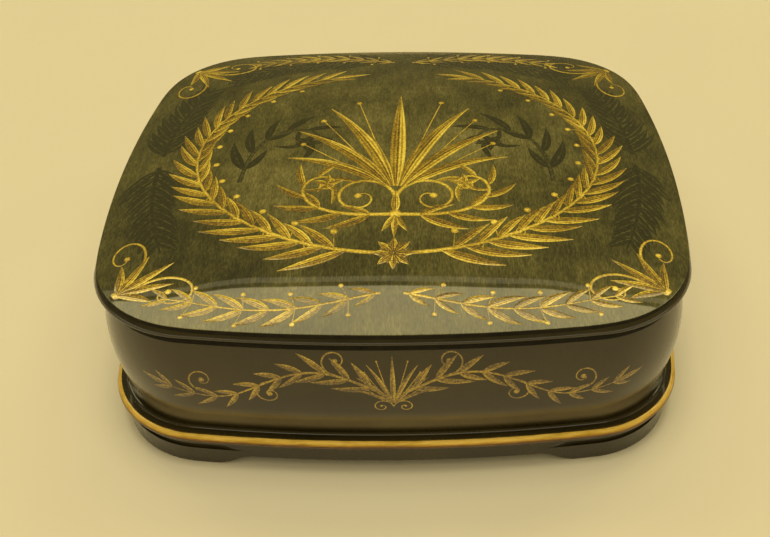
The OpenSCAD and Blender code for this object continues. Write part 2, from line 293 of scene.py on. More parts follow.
def place_mm(tree, scale=(1.0, 1.0, 1.0), shift=(0.0, 0.0, 0.0)):
    """Object coordinates in millimetres, times a scale, plus a shift."""
    source = node(tree, "ShaderNodeTexCoord").outputs["Object"]
    made = node(tree, "ShaderNodeMapping", {"Vector": source})
    made.inputs["Location"].default_value = shift
    made.inputs["Scale"].default_value = [1000.0 * s for s in scale]
    return made.outputs[0]


def noise(tree, vector, scale, detail=3.0, rough=0.5):
    values = {"Vector": vector, "Scale": scale, "Detail": detail, "Roughness": rough}
    return node(tree, "ShaderNodeTexNoise", values).outputs[0]


def bump(tree, height, strength, distance):
    values = {"Height": height, "Strength": strength, "Distance": distance}
    return node(tree, "ShaderNodeBump", values).outputs[0]


def finish(name, gloss, metal=0.0, coat=1.0, coat_rough=0.03, level=0.5, coat_ior=1.5):
    """A new material with a clear coat, its node tree and its shader."""
    made = bpy.data.materials.new(name)
    made.use_nodes = True
    tree = made.node_tree
    shader = tree.nodes["Principled BSDF"]
    shader.inputs["Roughness"].default_value = gloss
    shader.inputs["Metallic"].default_value = metal
    shader.inputs["Specular IOR Level"].default_value = level
    shader.inputs["Coat Weight"].default_value = coat
    shader.inputs["Coat Roughness"].default_value = coat_rough
    shader.inputs["Coat IOR"].default_value = coat_ior
    return made, tree, shader


def connect(tree, shader, colour=None, rough=None, normal=None, coat_normal=None):
    """Links what is given to the shader's sockets."""
    sockets = {"Base Color": colour, "Roughness": rough, "Normal": normal, "Coat Normal": coat_normal}
    for key, value in sockets.items():
        if value is not None:
            tree.links.new(value, shader.inputs[key])


def wear(tree, colour, worn, amount):
    """Colour with small worn specks along the edges."""
    edge = node(tree, "ShaderNodeNewGeometry").outputs["Pointiness"]
    specks = noise(tree, place_mm(tree), 0.9, 4.0)
    mask = product(tree, span(tree, edge, 0.52, 0.60), span(tree, specks, 0.50, 0.68))
    return mix_colour(tree, product(tree, mask, amount), colour, worn)


def black_lacquer():
    """Black gloss lacquer, faintly cloudy, worn to brown at sharp edges."""
    made, tree, shader = finish("black_lacquer", 0.35, coat_rough=0.04, level=0.2)
    place = place_mm(tree)
    clouds = noise(tree, place, 0.05, 4.0)
    colour = ramp(tree, clouds, [(0.3, (0.013, 0.009, 0.002)), (0.7, (0.028, 0.020, 0.005))])
    colour = wear(tree, colour, (0.10, 0.06, 0.025, 1.0), 0.5)
    rough = span(tree, noise(tree, place, 0.4, 3.0), 0.3, 0.7, 0.25, 0.45)
    wave = bump(tree, noise(tree, place, 0.08, 2.0), 0.10, 0.00008)
    connect(tree, shader, colour, rough, wave, wave)
    return made


def edge_black_and_shade():
    """Duller black for the edges of lid and wall, partly a black edge and partly painted shade: it stands in
    for the dark reflection under the lid's rim.
    """
    made, tree, shader = finish("edge_black_and_shade", 0.5, coat=0.0, level=0.12)
    place = place_mm(tree)
    clouds = noise(tree, place, 0.25, 4.0)
    colour = ramp(tree, clouds, [(0.3, (0.007, 0.006, 0.003)), (0.7, (0.016, 0.012, 0.006))])
    rough = span(tree, noise(tree, place, 0.8, 3.0), 0.3, 0.7, 0.42, 0.62)
    relief = bump(tree, noise(tree, place, 1.5, 2.0), 0.2, 0.00003)
    connect(tree, shader, colour, rough, relief)
    return made


def lid_paint():
    """Olive painted ground of the lid, lighter in the middle, under a clear gloss coat."""
    made, tree, shader = finish("lid_paint", 0.5, coat_rough=0.02, level=0.2, coat_ior=1.62)
    place = place_mm(tree)
    middle = place_mm(tree, (1 / 82.0, 1 / 72.0, 0.0), (0.0, 0.08, 0.0))
    reach = node(tree, "ShaderNodeVectorMath", {0: middle}, operation="LENGTH").outputs["Value"]
    glow = span(tree, reach, 0.0, 1.05, 1.0, 0.0)
    clouds = noise(tree, place, 0.045, 5.0, 0.62)
    dabs = noise(tree, place_mm(tree, (2.4, 0.55, 1.0)), 1.0, 2.0, 0.6)
    sweeps = noise(tree, place_mm(tree, (0.55, 0.10, 0.4)), 1.0, 3.0, 0.6)
    tone = product(tree, glow, 0.26)
    for value, share in ((clouds, 0.90), (dabs, 0.75), (sweeps, 0.42)):
        tone = total(tree, tone, product(tree, value, share))
    tone = less(tree, tone, 0.69)
    colour = ramp(tree, tone, [
        (0.00, (0.006, 0.006, 0.002)),
        (0.22, (0.026, 0.023, 0.004)),
        (0.45, (0.070, 0.060, 0.012)),
        (0.70, (0.156, 0.131, 0.034)),
        (1.00, (0.310, 0.257, 0.080)),
    ])
    wave = bump(tree, noise(tree, place, 0.05, 2.0), 0.12, 0.0001)
    grain = bump(tree, dabs, 0.25, 0.00004)
    connect(tree, shader, colour, None, grain, wave)
    return made


def wall_paint():
    """Dark brown painted wall; the paler mist near its foot is painted reflection of the floor, and the
    darker rim right at the foot is painted shade where the wall meets the board.
    """
    made, tree, shader = finish("wall_paint", 0.5, coat_rough=0.12, level=0.2)
    place = place_mm(tree)
    clouds = noise(tree, place, 0.045, 5.0, 0.6)
    dabs = noise(tree, place_mm(tree, (1.6, 1.6, 0.5)), 1.0, 3.0, 0.6)
    height = node(tree, "ShaderNodeSeparateXYZ", {0: place}).outputs["Z"]
    # Band of painted reflection above the foot, dark at the very foot for painted shade
    foot_reflection_and_shade = stripe(tree, height, 13.6, 15.8, 16.5, 23.0)
    tone = total(tree, product(tree, clouds, 0.7), product(tree, dabs, 0.3))
    colour = ramp(tree, tone, [
        (0.00, (0.008, 0.005, 0.001)),
        (0.40, (0.020, 0.013, 0.002)),
        (0.65, (0.030, 0.020, 0.003)),
        (1.00, (0.050, 0.034, 0.008)),
    ])
    # Paler colour of the painted reflection
    pale = ramp(tree, tone, [(0.25, (0.104, 0.082, 0.038)), (0.75, (0.165, 0.132, 0.066))])
    colour = mix_colour(tree, foot_reflection_and_shade, colour, pale)
    colour = wear(tree, colour, (0.08, 0.055, 0.025, 1.0), 0.3)
    wave = bump(tree, noise(tree, place, 0.06, 2.0), 0.12, 0.0001)
    grain = bump(tree, dabs, 0.2, 0.00004)
    connect(tree, shader, colour, None, grain, wave)
    return made


def red_lacquer():
    """Red lacquer inside the box and the lid."""
    made, tree, shader = finish("red_lacquer", 0.4, coat_rough=0.05, level=0.3)
    place = place_mm(tree)
    clouds = noise(tree, place, 0.06, 5.0, 0.6)
    colour = ramp(tree, clouds, [(0.25, (0.20, 0.012, 0.008)), (0.75, (0.36, 0.030, 0.016))])
    colour = wear(tree, colour, (0.08, 0.02, 0.012, 1.0), 0.5)
    rough = span(tree, noise(tree, place, 0.5, 3.0), 0.3, 0.7, 0.30, 0.55)
    wave = bump(tree, noise(tree, place, 0.25, 3.0), 0.3, 0.0001)
    connect(tree, shader, colour, rough, wave, wave)
    return made


def gilding():
    """Gold leaf on the bead, with painted shade on its lower half and a painted highlight on its upper half.
    """
    made, tree, shader = finish("gilding", 0.35, metal=0.2, coat=0.5, coat_rough=0.1)
    place = place_mm(tree)
    strokes = noise(tree, place_mm(tree, (0.22, 0.22, 2.6)), 1.0, 3.0, 0.6)
    patches = noise(tree, place, 0.07, 4.0, 0.6)
    height = node(tree, "ShaderNodeSeparateXYZ", {0: place}).outputs["Z"]
    # Painted light by height: darker below for shade, lighter above for the highlight
    upper = span(tree, height, 10.75, 12.05, -0.42, 0.30)
    tone = total(tree, product(tree, strokes, 0.55), product(tree, patches, 0.45))
    tone = total(tree, tone, upper)
    gold = ramp(tree, tone, [
        (0.05, (0.055, 0.016, 0.001)),
        (0.35, (0.260, 0.118, 0.004)),
        (0.58, (0.490, 0.275, 0.010)),
        (0.82, (0.780, 0.500, 0.080)),
    ])
    rough = span(tree, strokes, 0.3, 0.7, 0.30, 0.48)
    relief = bump(tree, strokes, 0.3, 0.0001)
    connect(tree, shader, gold, rough, relief)
    return made


def gold_paint():
    """Gold brushwork, its tone from the stroke."""
    made, tree, shader = finish("gold_paint", 0.42, metal=0.15, coat_rough=0.02, coat_ior=1.62)
    place = place_mm(tree)
    tone = node(tree, "ShaderNodeAttribute", attribute_name="tone").outputs["Fac"]
    brush = noise(tree, place, 1.6, 3.0, 0.6)
    patches = noise(tree, place, 0.08, 3.0)
    tone = total(tree, tone, span(tree, brush, 0.3, 0.7, -0.20, 0.20))
    tone = total(tree, tone, span(tree, patches, 0.3, 0.7, -0.16, 0.08))
    colour = ramp(tree, tone, [
        (0.00, (0.040, 0.021, 0.001)),
        (0.30, (0.190, 0.108, 0.003)),
        (0.62, (0.480, 0.315, 0.015)),
        (1.00, (0.930, 0.700, 0.090)),
    ])
    relief = bump(tree, brush, 0.3, 0.00005)
    connect(tree, shader, colour, None, relief)
    return made


def shade_paint():
    """Dark leaves in the ground of the lid, their tone from the stroke."""
    made, tree, shader = finish("shade_paint", 0.5, coat_rough=0.02, level=0.2, coat_ior=1.62)
    place = place_mm(tree)
    tone = node(tree, "ShaderNodeAttribute", attribute_name="tone").outputs["Fac"]
    brush = noise(tree, place, 1.1, 3.0, 0.6)
    tone = total(tree, tone, span(tree, brush, 0.3, 0.7, -0.25, 0.25))
    colour = ramp(tree, tone, [
        (0.00, (0.011, 0.010, 0.002)),
        (0.50, (0.028, 0.025, 0.005)),
        (1.00, (0.110, 0.095, 0.020)),
    ])
    connect(tree, shader, colour)
    return made


def brass():
    """Drawn brass with a little patina."""
    made, tree, shader = finish("brass", 0.28, metal=1.0, coat=0.0)
    place = place_mm(tree)
    patina = noise(tree, place, 0.35, 4.0, 0.6)
    drawn = noise(tree, place_mm(tree, (0.15, 3.0, 3.0)), 1.0, 2.0)
    colour = ramp(tree, patina, [(0.3, (0.50, 0.33, 0.12)), (0.7, (0.80, 0.60, 0.28))])
    rough = span(tree, drawn, 0.3, 0.7, 0.22, 0.45)
    relief = bump(tree, drawn, 0.2, 0.00004)
    connect(tree, shader, colour, rough, relief)
    return made


LACQUER = black_lacquer()
EDGE_BLACK_AND_SHADE = edge_black_and_shade()
LID_PAINT = lid_paint()
WALL_PAINT = wall_paint()
RED = red_lacquer()
GILDING = gilding()
GOLD_PAINT = gold_paint()
SHADE_PAINT = shade_paint()
BRASS = brass()


def dress(piece, *materials):
    """Gives a piece its materials."""
    piece.data.materials.clear()
    for material in materials:
        piece.data.materials.append(material)


# Wall, upright at its foot, bellied above it and eased at its top edge
def wall_out(z):
    """How far the wall stands outside the lid outline at a height."""
    t = np.clip((z - BOARD_TOP) / (PARTING - BOARD_TOP), 0.0, 1.0)
    return WALL_BELLY * 4 * t * (1 - t) * (1 - (1 - t) ** WALL_FOOT_POWER) - WALL_INSET


def wall_profile():
    """The wall from its foot up the outside, over the top and down the inside."""
    lower = np.linspace(BOARD_TOP, EDGE_BAND, 44)
    upper = np.linspace(EDGE_BAND, PARTING - WALL_EASING, 6)[1:]
    outer = [(float(wall_out(z)), float(z)) for z in (*lower, *upper)]
    soft = (-WALL_INSET - WALL_SOFTENING, PARTING - WALL_SOFTENING)
    top = [soft, (-WALL_INSET - WALL_EASING, PARTING)]
    return outer + top + [(-WALL_INNER, PARTING), (-WALL_INNER, BOARD_TOP)]


wall = sweep("wall_shell", wall_profile())
cut(wall, (-HINGE_HALF, NOTCH_FRONT, NOTCH_BOTTOM), (HINGE_HALF, CLEAR_BACK, CLEAR_TOP))
cut(wall, (-LEAF_HALF, LEAF_FRONT, PARTING - LEAF_SINK), (LEAF_HALF, LEAF_BACK, CLEAR_TOP))
dress(wall, WALL_PAINT, EDGE_BLACK_AND_SHADE)
# The band at the wall's top takes the duller black: painted shade for the dark reflection under the lid's
# rim.
for polygon in wall.data.polygons:
    polygon.material_index = int(polygon.center.z > EDGE_BAND * MM)
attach(wall, "box")
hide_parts("body_wall")


# Rim of the lid: a nose, full above and tight at its lower edge, and a flat frame
def rim_profile():
    """The nose of two arcs that meet tangentially, and the flat frame behind it."""
    turn = math.radians(NOSE_TURN)
    upper = (RIM_HEIGHT - NOSE_LOWER * (1 + math.sin(turn))) / (1 - math.sin(turn))
    apart = upper - NOSE_LOWER
    low = (-NOSE_LOWER, RIM_BOTTOM + NOSE_LOWER)
    high = (low[0] - apart * math.cos(turn), low[1] - apart * math.sin(turn))
    nose = arc(*low, NOSE_LOWER, -90, NOSE_TURN, 10) + arc(*high, upper, NOSE_TURN, 90, 14)[1:]
    return [(-RIM_INNER, RIM_BOTTOM)] + nose + [(-RIM_INNER, RIM_TOP)]


rim = sweep("rim_frame", rim_profile())
cut(rim, (-HINGE_HALF, NOTCH_FRONT, CLEAR_BOTTOM), (HINGE_HALF, CLEAR_BACK, NOTCH_TOP))
cut(rim, (-LEAF_HALF, LEAF_FRONT, CLEAR_BOTTOM), (LEAF_HALF, LEAF_BACK, RIM_BOTTOM + LEAF_SINK))
dress(rim, LACQUER)
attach(rim, "lid")
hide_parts("lid_rim")


# Gilt bead, a little uneven as laid by hand
def bead_piece():
    """The half-round bead, its radius varied by a few waves."""
    steps = 14
    turn = np.linspace(0.0, 2 * math.pi, COUNT, endpoint=False)
    draw = random.Random(11)
    rows = []
    for j in range(steps + 1):
        angle = -math.pi / 2 + math.pi * j / steps
        uneven = np.zeros(COUNT)
        for k in BEAD_WAVES:
            uneven += draw.uniform(0.010, 0.024) * np.sin(k * turn + draw.uniform(0, 6.28))
        radius = BEAD_RADIUS - BEAD_ROOM + uneven
        out = radius * math.cos(angle) - BEAD_BACK
        rows.append(level_ring(BASE, out, BEAD_HEIGHT + radius * math.sin(angle)))
    return build("bead_gilt", np.vstack(rows), bands(steps + 1, True), SHARP_ROUND)


bead = bead_piece()
dress(bead, GILDING)
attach(bead, "box")
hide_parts("gilt_bead")


# Plinth with four bracket feet, the lower edge rises into an arch on each side
def ogee(across, inner):
    """Height of the arch at a distance from its middle."""
    t = np.clip((np.abs(across) - inner) / OGEE_RUN, 0.0, 1.0)
    return ARCH_HEIGHT * (1 + np.cos(math.pi * t)) / 2


def lower_edge(points):
    """Height of the lower edge of the plinth at each sample of the outline."""
    facing = np.abs(BASE.normals[:, 1]) > np.abs(BASE.normals[:, 0])
    return np.where(facing, ogee(points[:, 0], FRONT_ARCH), ogee(points[:, 1], SIDE_ARCH))


def plinth_piece():
    """Rings from the top down the cove and the face, round the toes and back up inside."""
    edge = lower_edge(BASE.ring(0.0))
    deep = (NECK_INSET - FACE_INSET) * (1.0 - edge / ARCH_HEIGHT)
    rows = [level_ring(BASE, -PLINTH_INNER, FOOT_HEIGHT)]
    for angle in np.linspace(0.0, 90.0, 13):
        turn = math.radians(angle)
        inset = FACE_INSET + deep * math.cos(turn)
        drop = (FOOT_HEIGHT - FACE_HEIGHT) * math.sin(turn)
        rows.append(level_ring(BASE, -inset, FOOT_HEIGHT - drop))
    low = edge + TOE_EASING
    for share in np.linspace(1.0, 0.0, 8)[1:]:
        rows.append(level_ring(BASE, -FACE_INSET, low + (FACE_HEIGHT - low) * share))
    for angle in (25.0, 50.0, 75.0, 90.0):
        turn = math.radians(angle)
        inset = FACE_INSET + TOE_EASING * (1 - math.cos(turn))
        rows.append(level_ring(BASE, -inset, edge + TOE_EASING * (1 - math.sin(turn))))
    rows.append(level_ring(BASE, -PLINTH_INNER + HEEL_EASING, edge))
    rows.append(level_ring(BASE, -PLINTH_INNER, edge + HEEL_EASING))
    return build("plinth_feet", np.vstack(rows), bands(len(rows), True), SHARP_ROUND)


plinth = plinth_piece()
dress(plinth, LACQUER)
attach(plinth, "box")
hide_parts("plinth")


# Lid panel: a smooth dome that turns from the outline at its edge into an ellipse on top
def eased(points):
    """A ring whose long sides run softly into its corners."""
    summed = np.zeros_like(points)
    for shift in range(-EASING, EASING + 1):
        summed += np.roll(points, shift, axis=0)
    return summed / (2 * EASING + 1)


def rounded(points, inset):
    """The ring drawn out or in to an ellipse."""
    size = np.hypot(points[:, 0] / (HALF_WIDTH - inset), points[:, 1] / (HALF_DEPTH - inset))
    return points / size[:, None]


def dome_rows(inset, shares, base, rise):
    """Rings of the dome, from the edge at share one towards the top."""
    edge = eased(LID.ring(-inset))
    soft = rounded(edge, inset)
    rows = []
    for s in shares:
        points = s * (s * edge + (1 - s) * soft)
        rows.append(np.c_[points, np.full(COUNT, base + rise * (1 - s ** DOME_POWER))])
    return rows


# Rounding of the panel's edge: distance inward and height from the foot of the dome
EDGE_ROUNDING = ((0.12, 0.02), (0.02, -0.12), (0.0, -0.30))


def panel_piece():
    """The dome, its black edge, partly painted shade, and the red hollow below."""
    rise = DOME_RISE - PAINT_ROOM
    shares = 1 - np.linspace(0.0, 1.0, 46)[:-1] ** 1.5
    top = dome_rows(PANEL_INSET, shares, PANEL_EDGE_TOP, rise)
    under_shares = 1 - np.linspace(0.0, 1.0, 20)[:-1] ** 1.4
    under = dome_rows(HOLLOW_INSET, under_shares, RIM_TOP, HOLLOW_RISE)
    edge = []
    for inward, up in EDGE_ROUNDING:
        edge.append(eased(level_ring(LID, -PANEL_INSET - inward, PANEL_EDGE_TOP + up)))
    top[0] = edge.pop(0)
    edge.append(eased(level_ring(LID, -PANEL_INSET, RIM_TOP - PANEL_SEAT)))
    edge.append(eased(level_ring(LID, -PANEL_INSET - SEAT_SLOPE, RIM_TOP)))
    rows = top[::-1] + edge + under
    faces = bands(len(rows), False)
    black_from = (len(top) - 1) * COUNT
    red_from = (len(top) + len(edge) - 1) * COUNT
    poles = [(0.0, 0.0, PANEL_EDGE_TOP + rise), (0.0, 0.0, RIM_TOP + HOLLOW_RISE)]
    points = np.vstack(rows + [poles])
    last = len(rows) * COUNT
    for i in range(COUNT):
        k = (i + 1) % COUNT
        faces.append((i, k, last))
        faces.append((last - COUNT + i, last - COUNT + k, last + 1))
    piece = build("panel_dome", points, faces, SHARP_ROUND)
    dress(piece, LID_PAINT, RED, EDGE_BLACK_AND_SHADE)
    # Red for the hollow; the edge rows take the duller black, partly a black edge and partly painted shade
    # for its dark reflection.
    for polygon in piece.data.polygons:
        lowest = min(polygon.vertices)
        if lowest >= red_from:
            polygon.material_index = 1
        elif lowest >= black_from:
            polygon.material_index = 2
    return piece


panel = panel_piece()
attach(panel, "lid")
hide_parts("lid_panel")

# CAD nodes that keep their shape get the detailed materials
KEPT = {
    "base_board": LACQUER,
    "bottom_panel": RED,
    "inner_collar": RED,
    "body_hinge_leaf": BRASS,
    "lid_hinge_leaf": BRASS,
    "hinge_pin": BRASS,
    "body_leaf_pins": BRASS,
    "lid_leaf_pins": BRASS,
}
for kept_name, kept_material in KEPT.items():
    dress(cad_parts[kept_name], kept_material)


# Painted ornament: ribbons and leaves that lie on the lid and on the wall

# The reach of the panel's edge by angle
EDGE_RING = eased(LID.ring(-PANEL_INSET))
EDGE_ANGLE = np.arctan2(EDGE_RING[:, 1], EDGE_RING[:, 0])
EDGE_ORDER = np.argsort(EDGE_ANGLE)
EDGE_ANGLE = EDGE_ANGLE[EDGE_ORDER]
EDGE_REACH = np.hypot(EDGE_RING[:, 0], EDGE_RING[:, 1])[EDGE_ORDER]


def on_lid(points, lift):
    """Points of the lid's plan, raised onto the dome."""
    angle = np.arctan2(points[:, 1], points[:, 0])
    outer = np.interp(angle, EDGE_ANGLE, EDGE_REACH, period=2 * math.pi)
    reach = np.minimum(np.hypot(points[:, 0], points[:, 1]), outer - PAINT_MARGIN)
    x = reach * np.cos(angle)
    y = reach * np.sin(angle)
    across = np.cos(angle) / (HALF_WIDTH - PANEL_INSET)
    along = np.sin(angle) / (HALF_DEPTH - PANEL_INSET)
    soft = 1.0 / np.hypot(across, along)
    gain = outer - soft
    share = 2 * reach / (soft + np.sqrt(soft * soft + 4 * gain * reach))
    z = PANEL_EDGE_TOP + (DOME_RISE - PAINT_ROOM) * (1 - np.clip(share, 0.0, 1.0) ** DOME_POWER)
    return np.c_[x, y, z + lift]


# The lid outline in fine steps, for distances along the wall
FINE = Outline(HALF_WIDTH, HALF_DEPTH, CORNER_RADIUS, 400, 300)
FINE_POINTS = FINE.ring(0.0)
FINE_STEPS = np.hypot(*np.diff(FINE_POINTS, axis=0, append=FINE_POINTS[:1]).T)
FINE_LENGTH = np.concatenate([[0.0], np.cumsum(FINE_STEPS)])
GIRTH = FINE_LENGTH[-1]


def girth_at(x, y):
    """Distance along the outline, from its start on the right, of the point nearest to x, y."""
    return FINE_LENGTH[np.argmin(np.hypot(FINE_POINTS[:, 0] - x, FINE_POINTS[:, 1] - y))]


def on_wall(start):
    """A placing function for points (along, height), measured along the wall from a start."""
    def place(points, lift):
        along = np.mod(start + points[:, 0], GIRTH)
        index = np.clip(np.searchsorted(FINE_LENGTH, along) - 1, 0, len(FINE_POINTS) - 1)
        following = (index + 1) % len(FINE_POINTS)
        part = (along - FINE_LENGTH[index]) / FINE_STEPS[index]
        base = FINE_POINTS[index] * (1 - part)[:, None] + FINE_POINTS[following] * part[:, None]
        flat = base + FINE.normals[index] * (wall_out(points[:, 1]) + lift)[:, None]
        return np.c_[flat, points[:, 1]]
    return place


# Tones across a leaf, from edge to edge
GOLD_LEAF = (0.75, 1.0, 0.45, 0.95, 0.10, 0.62, 0.28, 0.55, 0.40)
PLAIN_LEAF = (0.15, 0.40, 0.25, 1.0, 0.25, 0.40, 0.15)

# Rings of a berry: share of its radius, lift and tone
BERRY_RINGS = ((1.0, 0.010, 0.45), (0.6, 0.035, 0.8))
BERRY_TOP = 0.05


def walk(start, heading, step):
    """A path from a start, one step along each heading in degrees."""
    turn = np.radians(heading)
    path = np.c_[np.cumsum(step * np.cos(turn)), np.cumsum(step * np.sin(turn))]
    return np.asarray(start) + path - path[0]


class Painting:
    """Collects painted strokes and turns them into one mesh."""

    def __init__(self, place, strength=1.0):
        self.place = place
        self.strength = strength
        self.points = []
        self.faces = []
        self.tones = []
        self.count = 0

    def strip(self, path, widths, tones):
        """A ribbon along a path, one column per tone across its width."""
        path = np.asarray(path, float)
        widths = np.asarray(widths, float)
        along = np.gradient(path, axis=0)
        along /= np.maximum(np.hypot(along[:, 0], along[:, 1]), 1e-9)[:, None]
        side = np.c_[-along[:, 1], along[:, 0]]
        columns = len(tones)
        rows = len(path)
        for c, tone in enumerate(tones):
            across = 2.0 * c / (columns - 1) - 1.0
            lift = STROKE_EDGE + STROKE_RELIEF * (1 - across * across)
            flat = path + side * (across * widths / 2)[:, None]
            self.points.append(self.place(flat, lift))
            self.tones.append(np.full(rows, tone))
        first = self.count
        for c in range(columns - 1):
            for r in range(rows - 1):
                a = first + c * rows + r
                b = first + (c + 1) * rows + r
                self.faces.append((a, a + 1, b + 1, b))
        self.count += columns * rows

    def leaf(self, base, angle, length, width, bend, tone=1.0, plain=False):
        """A pointed leaf with a dark rib, from its base along an angle in degrees."""
        t = np.linspace(0.0, 1.0, 15)
        path = walk(base, angle + bend * t, length / (len(t) - 1))
        shape = np.sin(math.pi * np.clip(t, 0.015, 0.985) ** 0.72) ** 0.85
        widths = np.maximum(width * shape, 0.12)
        tones = PLAIN_LEAF if plain else GOLD_LEAF
        self.strip(path, widths, [tone * v for v in tones])

    def stem(self, path, start_width, end_width, tone=0.85):
        """A thin line that tapers from one width to another."""
        widths = np.linspace(start_width, end_width, len(path))
        self.strip(path, widths, [tone * 0.6, tone, tone * 0.45])

    def dot(self, centre, radius, tone=1.0):
        """A round berry with a raised middle."""
        turns = 14
        angles = np.linspace(0.0, 2 * math.pi, turns, endpoint=False)
        circle = radius * np.c_[np.cos(angles), np.sin(angles)]
        first = self.count
        for share, lift, shade in BERRY_RINGS:
            self.points.append(self.place(np.asarray(centre) + share * circle, lift))
            self.tones.append(np.full(turns, tone * shade))
        self.points.append(self.place(np.array([centre]), BERRY_TOP))
        self.tones.append(np.array([tone]))
        for i in range(turns):
            k = (i + 1) % turns
            self.faces.append((first + i, first + k, first + turns + k, first + turns + i))
            self.faces.append((first + turns + i, first + turns + k, first + 2 * turns))
        self.count += 2 * turns + 1

    def piece(self, name, material):
        """The strokes so far as one object, with each point's tone."""
        made = build(name, np.vstack(self.points), self.faces, SHARP_PAINT, closed=False)
        attribute = made.data.attributes.new("tone", "FLOAT", "POINT")
        tones = self.strength * np.concatenate(self.tones)
        attribute.data.foreach_set("value", tones.astype(np.float32))
        dress(made, material)
        return made


def spiral(centre, start_radius, end_radius, start_angle, turns, steps):
    """Points that wind inward round a centre."""
    t = np.linspace(0.0, 1.0, steps)
    radius = start_radius + (end_radius - start_radius) * t ** 0.8
    angle = math.radians(start_angle) + turns * 2 * math.pi * t
    return np.asarray(centre) + np.c_[radius * np.cos(angle), radius * np.sin(angle)]


def tangent(path, index):
    """Heading of a path at one of its points, in degrees."""
    before = path[max(index - 1, 0)]
    after = path[min(index + 1, len(path) - 1)]
    return math.degrees(math.atan2(after[1] - before[1], after[0] - before[0]))


def way(degrees):
    """A unit vector along an angle in degrees."""
    return np.array([math.cos(math.radians(degrees)), math.sin(math.radians(degrees))])


def tendril(painting, start, angle, size, hand):
    """A thin stem that leaves at an angle and curls up, with a berry at its end."""
    t = np.linspace(0.0, 1.0, 46)
    path = walk(start, angle + hand * 470.0 * t ** 1.35, size * (1.0 - 0.86 * t) / len(t))
    painting.stem(path, 0.55, 0.28, 0.7)
    painting.dot(path[-1], 0.75, 0.9)


def wreath(painting, side, draw):
    """Half of a leafy wreath with berries and tendrils, mirrored when side is -1."""
    turn = np.radians(np.linspace(-86.0, 68.0, 150))
    path = np.c_[side * 61.0 * np.cos(turn), 50.0 * np.sin(turn) + 1.5]
    painting.stem(path, 1.4, 0.4)
    nodes = 23
    for i in range(nodes):
        index = int(8 + (len(path) - 14) * i / (nodes - 1))
        share = i / (nodes - 1)
        heading = tangent(path, index)
        length = 17.5 - 6.0 * share + draw.uniform(-1.5, 1.5)
        width = 3.1 - 0.9 * share
        lean = 38.0 - 8.0 * share
        bend = side * draw.uniform(8, 26)
        painting.leaf(path[index], heading - side * lean, length, width, bend, draw.uniform(0.78, 1.05))
        inner = min(index + 3, len(path) - 1)
        heading = tangent(path, inner)
        bend = -side * draw.uniform(8, 24)
        tone = draw.uniform(0.62, 0.98)
        painting.leaf(path[inner], heading + side * lean, length * 0.78, width * 0.85, bend, tone)
        if i % 2 == 0 and i < nodes - 2:
            end = path[inner] + (6.8 - 1.5 * share) * way(heading + side * 74.0)
            painting.stem(np.linspace(path[inner], end, 6), 0.4, 0.3, 0.6)
            painting.dot(end, 1.1 - 0.25 * share)
        elif i < nodes - 2:
            tendril(painting, path[index], heading - side * 62.0, 21.0 - 6.0 * share, side)
    painting.leaf(path[-1], tangent(path, len(path) - 1), 12.0, 2.0, side * 10.0)


def scroll(painting, start, angle, size, hand, draw, plain=False):
    """A curling stem with leaves along its outer side and a small flower in its eye."""
    t = np.linspace(0.0, 1.0, 120)
    heading = angle + hand * 600.0 * t ** 2.1
    path = walk(start, heading, size * (1.0 - 0.80 * t) / len(t))
    shade = 0.75 if plain else 1.0
    painting.stem(path, 1.5, 0.5, 0.9 * shade)
    lean = hand * 40.0
    bend = hand * 30.0
    for i in range(9):
        index = 8 + 11 * i
        length = size * (0.155 - 0.010 * i) * draw.uniform(0.9, 1.1)
        tone = shade * draw.uniform(0.7, 1.0)
        painting.leaf(path[index], heading[index] - lean, length, length * 0.20, bend, tone, plain)
        if i in (0, 2):
            painting.leaf(path[index], heading[index] + lean, length * 0.7, length * 0.16, -bend, tone, plain)
    for turn in (0, 72, 144, 216, 288):
        painting.leaf(path[-1], heading[-1] + turn, size * 0.050, size * 0.022, 10.0, 0.95 * shade, plain)
    painting.dot(path[-1], size * 0.012, 0.7 * shade)


def rosette(painting, centre, radius):
    """A flower of two rings of petals round a boss."""
    for turn in range(0, 360, 45):
        painting.leaf(centre, turn, radius, radius * 0.42, 0.0, 0.95)
    for turn in range(22, 382, 45):
        painting.leaf(centre, turn + 0.5, radius * 0.7, radius * 0.26, 0.0, 0.7)
    painting.dot(centre, radius * 0.2, 1.05)


def palmette(painting, base, scale, draw):
    """A fan of curved leaves with a pair of volutes, the classic upright ornament."""
    fan = [(0, 47, 4.2), (17, 44, 3.9), (34, 38, 3.6), (52, 31, 3.2)]
    for turn, length, width in fan:
        for side in ((1,) if turn == 0 else (1, -1)):
            root = np.asarray(base) + scale * np.array([side * turn * 0.05, 1.5])
            angle = 90.0 - side * turn * 0.82
            bend = -side * (0.0 if turn == 0 else 14.0 + turn * 0.45)
            painting.leaf(root, angle, scale * length, scale * width, bend, draw.uniform(0.85, 1.05))
            if turn:
                between = angle + side * 7.0
                painting.leaf(root, between, scale * length * 0.62, scale * 0.9, bend * 0.8, 0.7)
                end = root + scale * length * way(between + bend * 0.35)
                painting.stem(np.linspace(root, end, 12), 0.45 * scale, 0.32, 0.85)
                painting.dot(end, 0.85 * scale, 0.9)
    for side in (1, -1):
        middle = (base[0] + side * 9.0 * scale, base[1] - 3.2 * scale)
        coil = spiral(middle, 9.0 * scale, scale, 90.0 + side * 90.0, -side * 1.35, 60)
        painting.stem(coil, 1.2 * scale, 0.35)
        painting.dot(coil[-1], 1.1 * scale)


